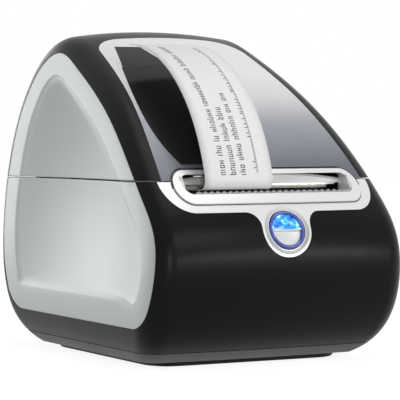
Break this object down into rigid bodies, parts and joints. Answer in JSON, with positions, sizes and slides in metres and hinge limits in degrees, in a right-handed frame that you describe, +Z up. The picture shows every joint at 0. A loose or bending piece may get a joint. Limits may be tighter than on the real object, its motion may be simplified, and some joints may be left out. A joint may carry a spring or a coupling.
{
  "type": "label printer",
  "caption": "Desktop thermal label printer: arched hinged cover with silver side panels over a rounded black base, front label slot, round feed button, label spool inside.",
  "frame": {"origin": "centre of the footprint box, on the surface that the feet stand on", "axes": "+X to the right as seen from the front, -Y is the front with the label slot, +Z up"},
  "size_m": [0.125, 0.1807, 0.1479],
  "materials": {
    "black_plastic": "satin moulded",
    "dark_plastic": "fine texture",
    "silver_panel": "satin silver paint on plastic",
    "silver_plate": "satin silver paint on plastic",
    "smoked_window": "polished smoked clear",
    "bezel": "satin pale silver paint",
    "grey_plastic": "moulded",
    "steel": "bright zinc plated",
    "dark_steel": "blackened",
    "platen_rubber": "ground matt",
    "foot_rubber": "matt",
    "gear_plastic": "natural acetal",
    "brass": "turned",
    "ceramic": "glazed",
    "circuit_board": "solder mask",
    "switch_plastic": "moulded",
    "lamp": "clear blue",
    "button_blue": "clear blue, polished",
    "release_green": "moulded",
    "paper": "coated label paper",
    "cardboard": "wound board"
  },
  "bodies": {
    "root": {"base_pan": "dark_plastic", "rubber_feet": "foot_rubber", "pan_screws": "steel", "lower_housing": "black_plastic", "side_panel_lower_left": "silver_panel", "side_panel_lower_right": "silver_panel", "slot_bezel": "bezel", "exit_chute": "grey_plastic", "tear_bar": "dark_steel", "print_frame": "steel", "platen_bushes": "brass", "idler_pin": "steel", "stepper_motor": "dark_steel", "head_pivot_pins": "steel", "head_springs": "steel", "infeed_tray": "grey_plastic", "main_board": "circuit_board", "usb_socket": "steel", "power_jack": "switch_plastic", "button_board": "circuit_board", "button_switch": "switch_plastic", "indicator_lamps": "lamp", "board_posts": "black_plastic", "hinge_pins": "steel", "label_strip": "paper", "label_web": "paper"},
    "lid": {"top_cover": "black_plastic", "faceplate": "silver_plate", "faceplate_window": "smoked_window", "side_panel_upper_left": "silver_panel", "side_panel_upper_right": "silver_panel", "spool_cradle_left": "black_plastic", "spool_cradle_right": "black_plastic"},
    "spool": {"spool_spindle": "dark_plastic", "roll_core": "cardboard", "label_roll": "paper"},
    "spool_guide": {"spool_guide": "dark_plastic"},
    "platen": {"platen_shaft": "steel", "platen_roller": "platen_rubber", "platen_gear": "gear_plastic"},
    "idler": {"idler_gear": "gear_plastic"},
    "motor_rotor": {"motor_shaft": "steel", "motor_pinion": "brass"},
    "print_head": {"head_bracket": "steel", "thermal_head": "ceramic"},
    "release_lever": {"release_lever": "release_green"},
    "label_guide": {"label_guide": "release_green"},
    "feed_button": {"feed_button": "button_blue"}
  },
  "joints": [
    {"name": "lid_hinge", "type": "hinge", "parent": "root", "child": "lid", "pos_m": [0, 0.0851, 0.0861], "axis": [-1, 0, 0], "range_deg": [0, 95], "deforming": ["label_web"]},
    {"name": "spool_spin", "type": "hinge", "parent": "lid", "child": "spool", "pos_m": [0, 0.032, 0.091], "axis": [1, 0, 0], "continuous": true},
    {"name": "spool_guide_slide", "type": "slide", "parent": "spool", "child": "spool_guide", "axis": [1, 0, 0], "range_m": [0, 0.026]},
    {"name": "platen_spin", "type": "hinge", "parent": "root", "child": "platen", "pos_m": [0, -0.058, 0.0692], "axis": [1, 0, 0], "continuous": true},
    {"name": "idler_spin", "type": "hinge", "parent": "root", "child": "idler", "pos_m": [0, -0.04493, 0.04907], "axis": [1, 0, 0], "continuous": true},
    {"name": "motor_spin", "type": "hinge", "parent": "root", "child": "motor_rotor", "pos_m": [0, -0.03491, 0.03364], "axis": [1, 0, 0], "continuous": true},
    {"name": "head_lift", "type": "hinge", "parent": "root", "child": "print_head", "pos_m": [0, -0.032, 0.0772], "axis": [-1, 0, 0], "range_deg": [0, 6], "deforming": ["head_springs"]},
    {"name": "release_lever_turn", "type": "hinge", "parent": "root", "child": "release_lever", "pos_m": [0, -0.032, 0.0772], "axis": [-1, 0, 0], "range_deg": [0, 35]},
    {"name": "label_guide_slide", "type": "slide", "parent": "root", "child": "label_guide", "axis": [1, 0, 0], "range_m": [0, 0.024]},
    {"name": "feed_button_press", "type": "slide", "parent": "root", "child": "feed_button", "axis": [0, 0.9336, -0.3584], "range_m": [0, 0.001], "stiffness_N_per_m": 300}
  ],
  "couplings": [
    {"joint": "idler_spin", "follows": "platen_spin", "ratio": -0.66667},
    {"joint": "motor_spin", "follows": "platen_spin", "ratio": 2.4},
    {"joint": "release_lever_turn", "follows": "head_lift", "ratio": 5.8333}
  ]
}
